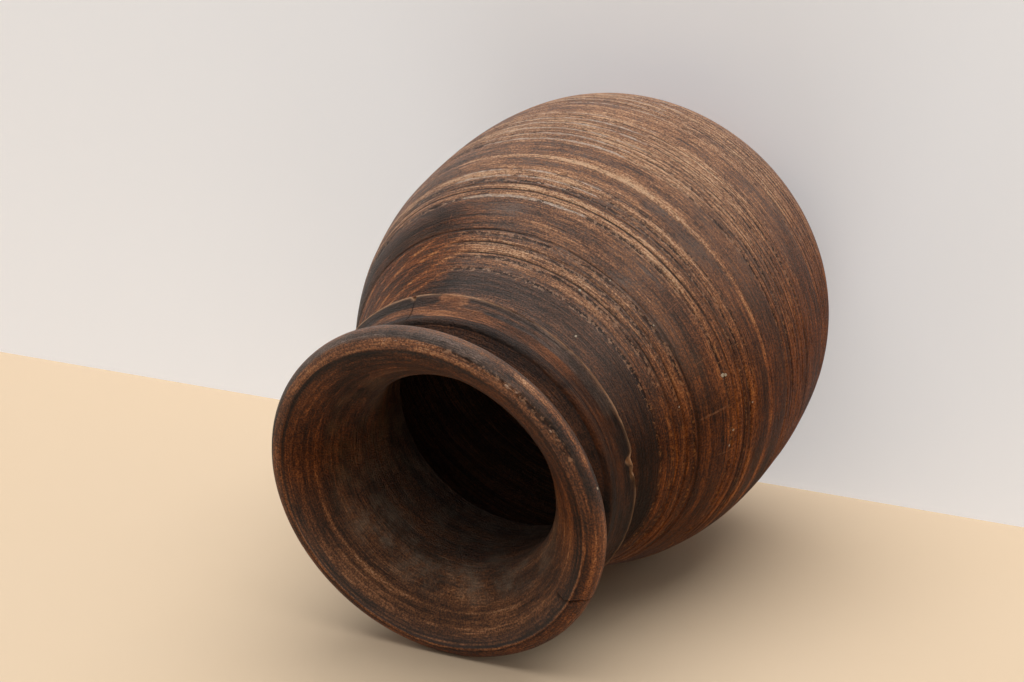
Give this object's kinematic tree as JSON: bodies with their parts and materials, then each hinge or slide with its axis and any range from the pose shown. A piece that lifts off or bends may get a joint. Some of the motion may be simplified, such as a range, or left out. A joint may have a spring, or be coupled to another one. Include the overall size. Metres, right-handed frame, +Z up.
{
  "type": "turned wooden vase",
  "caption": "Round-bodied turned hardwood vase with a flared mouth, waisted neck and a sharp-edged collar ring over the neck joint.",
  "frame": {"origin": "centre of the foot's underside", "axes": "+Z up along the turning axis, from the foot to the mouth; X and Y are any two directions across it"},
  "size_m": [0.147, 0.147, 0.178],
  "materials": {
    "body_wood": "dark stained, worn and waxed, with open eroded grain",
    "collar_wood": "dark stained, worn to bare wood on the edge",
    "neck_wood": "dark stained, handled smooth, dusty in the throat",
    "plug_wood": "dark stained, end grain"
  },
  "bodies": {
    "root": {"body": "body_wood", "collar_ring": "collar_wood", "neck": "neck_wood", "base_plug": "plug_wood"}
  },
  "joints": []
}
